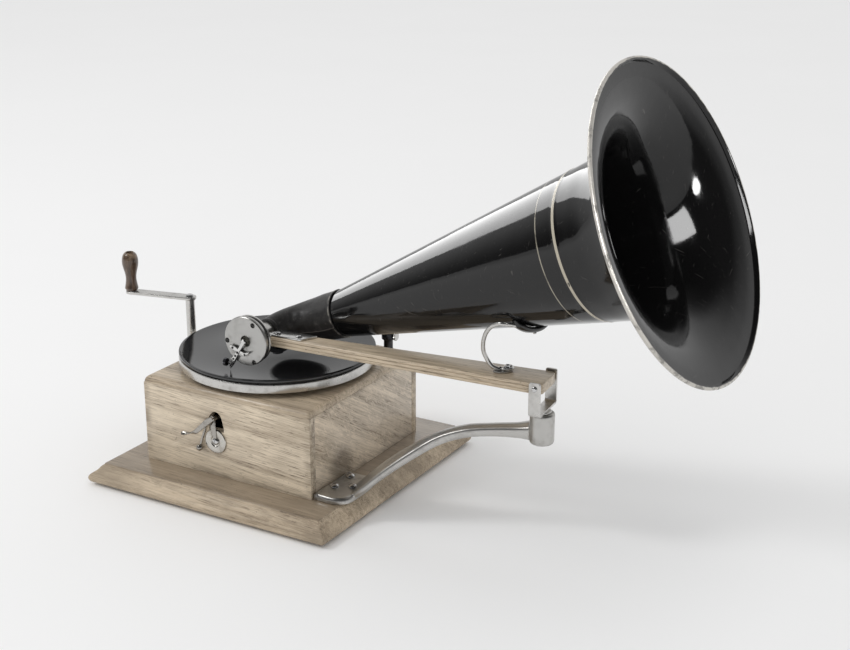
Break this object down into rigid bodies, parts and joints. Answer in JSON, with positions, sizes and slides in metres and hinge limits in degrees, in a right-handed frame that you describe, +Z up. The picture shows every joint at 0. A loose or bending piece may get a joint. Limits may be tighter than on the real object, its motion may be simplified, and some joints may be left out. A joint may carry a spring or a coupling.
{
  "type": "wind up phonograph",
  "caption": "Small tabletop disc phonograph: wooden case on a moulded base, side crank, turntable, swinging wooden tone beam with soundbox, leather elbow and conical horn with flared bell.",
  "frame": {"origin": "centre of the square base at the plane it stands on; the spindle is 3.2 mm to -X and 2.1 mm to -Y of it", "axes": "+Z up; +X towards the horn's bell, away from the crank; the speed lever is on the -Y face"},
  "size_m": [0.5938, 0.2612, 0.404],
  "materials": {
    "beamwood": "varnished oak",
    "black": "gloss black lacquer",
    "blued": "blackened metal",
    "brass": "cut brass",
    "felt": "dark felt",
    "ironplate": "grey motor plates",
    "leather": "mottled black leather",
    "mica": "mica sheet",
    "nickel": "worn polished nickel plate",
    "oak": "varnished straight-grained oak",
    "rubber": "black rubber ring",
    "shellac": "mirror-gloss black shellac",
    "steel": "bright domed screws and steel parts",
    "walnut": "dark turned hardwood, polished"
  },
  "bodies": {
    "case": {"base_plinth": "oak", "case_front": "oak", "case_back": "oak", "case_left": "oak", "case_right": "oak", "motor_board": "oak", "motor_bottom_plate": "ironplate", "motor_top_plate": "ironplate", "motor_pillar_1": "steel", "motor_pillar_2": "steel", "motor_pillar_3": "steel", "crank_bracket": "nickel", "brake_plate": "brass", "brake_plate_screw": "steel", "support_bracket": "nickel", "bracket_screw_1": "steel", "bracket_screw_2": "steel", "bracket_screw_3": "steel", "arm_rest_post": "blued"},
    "turntable": {"spindle": "steel", "spindle_wheel": "brass", "turntable": "nickel", "felt_mat": "felt", "record": "shellac", "record_nut": "blued"},
    "barrel": {"spring_barrel": "brass", "barrel_cover": "brass", "mainspring": "steel"},
    "intermediate": {"intermediate_arbor": "steel", "intermediate_wheel": "brass"},
    "governor": {"governor_spindle": "steel", "governor_disc": "brass", "governor_weight_1": "brass", "governor_weight_2": "brass"},
    "crank": {"crank_shaft": "nickel", "crank_arm": "nickel"},
    "crank_knob": {"crank_knob": "walnut"},
    "winding_arbor": {"barrel_arbor": "steel", "winding_wheel": "brass", "ratchet_wheel": "steel"},
    "click": {"click": "steel"},
    "brake_lever": {"brake_lever": "nickel"},
    "speed_rod": {"speed_rod": "nickel"},
    "yoke": {"yoke": "nickel", "yoke_pin": "nickel"},
    "arm": {"tone_beam": "beamwood", "soundbox_bracket": "nickel", "soundbox_housing": "nickel", "soundbox_gasket": "rubber", "diaphragm": "mica", "soundbox_face": "nickel", "leather_elbow": "leather", "horn_rest_wire": "nickel", "horn_cradle": "black", "horn_rest_screw": "steel"},
    "horn": {"horn": "black"},
    "stylus": {"stylus_bar": "nickel", "needle": "steel"},
    "needle_screw": {"needle_screw": "steel"},
    "thumbscrew": {"arm_rest_thumbscrew": "nickel"}
  },
  "joints": [
    {"name": "turntable_spin", "type": "hinge", "parent": "case", "child": "turntable", "pos_m": [-0.0032, -0.0021, 0.105], "axis": [0, 0, 1], "continuous": true},
    {"name": "barrel_turn", "type": "hinge", "parent": "case", "child": "barrel", "pos_m": [-0.05013, -0.02078, 0.05], "axis": [0, 0, 1], "continuous": true},
    {"name": "intermediate_turn", "type": "hinge", "parent": "case", "child": "intermediate", "pos_m": [-0.03212, 0.01039, 0.06], "axis": [0, 0, 1], "continuous": true},
    {"name": "governor_spin", "type": "hinge", "parent": "case", "child": "governor", "pos_m": [0.01421, -0.02274, 0.06], "axis": [0, 0, 1], "continuous": true},
    {"name": "winding_arbor_turn", "type": "hinge", "parent": "case", "child": "winding_arbor", "pos_m": [-0.05013, -0.02078, 0.028], "axis": [0, 0, 1], "continuous": true},
    {"name": "crank_wind", "type": "hinge", "parent": "case", "child": "crank", "pos_m": [-0.1026, -0.0012, 0.14], "axis": [0, 0, 1], "continuous": true},
    {"name": "crank_knob_turn", "type": "hinge", "parent": "crank", "child": "crank_knob", "pos_m": [-0.16118, -0.01419, 0.165], "axis": [0, 0, 1], "continuous": true},
    {"name": "click_lift", "type": "hinge", "parent": "case", "child": "click", "pos_m": [-0.02313, -0.02678, 0.03], "axis": [0, 0, 1], "range_deg": [0, 12]},
    {"name": "brake_lever_turn", "type": "hinge", "parent": "case", "child": "brake_lever", "pos_m": [0.029, -0.041, 0.075], "axis": [0, 0, 1], "range_deg": [-1.2, 1.8]},
    {"name": "speed_rod_turn", "type": "hinge", "parent": "case", "child": "speed_rod", "pos_m": [-0.0203, -0.088, 0.0665], "axis": [0, 1, 0], "range_deg": [-5, 10]},
    {"name": "arm_swing", "type": "hinge", "parent": "case", "child": "yoke", "pos_m": [0.2728, -0.0227, 0.1], "axis": [0, 0, 1], "range_deg": [-8, 55]},
    {"name": "arm_lift", "type": "hinge", "parent": "yoke", "child": "arm", "pos_m": [0.2728, -0.0227, 0.1422], "axis": [-0.0906, 0.9959, 0], "range_deg": [0, 28]},
    {"name": "horn_turn", "type": "hinge", "parent": "arm", "child": "horn", "pos_m": [-0.052, 0.0041, 0.109], "axis": [0.9243, -0.0226, 0.3811], "range_deg": [-180, 180]},
    {"name": "stylus_rock", "type": "hinge", "parent": "arm", "child": "stylus", "pos_m": [0.012, -0.072, 0.1443], "axis": [1, 0, 0], "range_deg": [-0.35, 0.35]},
    {"name": "needle_screw_turn", "type": "hinge", "parent": "stylus", "child": "needle_screw", "pos_m": [-0.008, -0.0726, 0.1226], "axis": [1, 0, 0], "continuous": true},
    {"name": "arm_rest_thumbscrew_turn", "type": "hinge", "parent": "case", "child": "thumbscrew", "pos_m": [0.077, 0.07, 0.1176], "axis": [1, 0, 0], "continuous": true}
  ],
  "couplings": [
    {"joint": "intermediate_turn", "follows": "turntable_spin", "ratio": -0.3125},
    {"joint": "barrel_turn", "follows": "turntable_spin", "ratio": 0.089286},
    {"joint": "governor_spin", "follows": "turntable_spin", "ratio": -3.5},
    {"joint": "winding_arbor_turn", "follows": "crank_wind", "ratio": -0.16667}
  ]
}
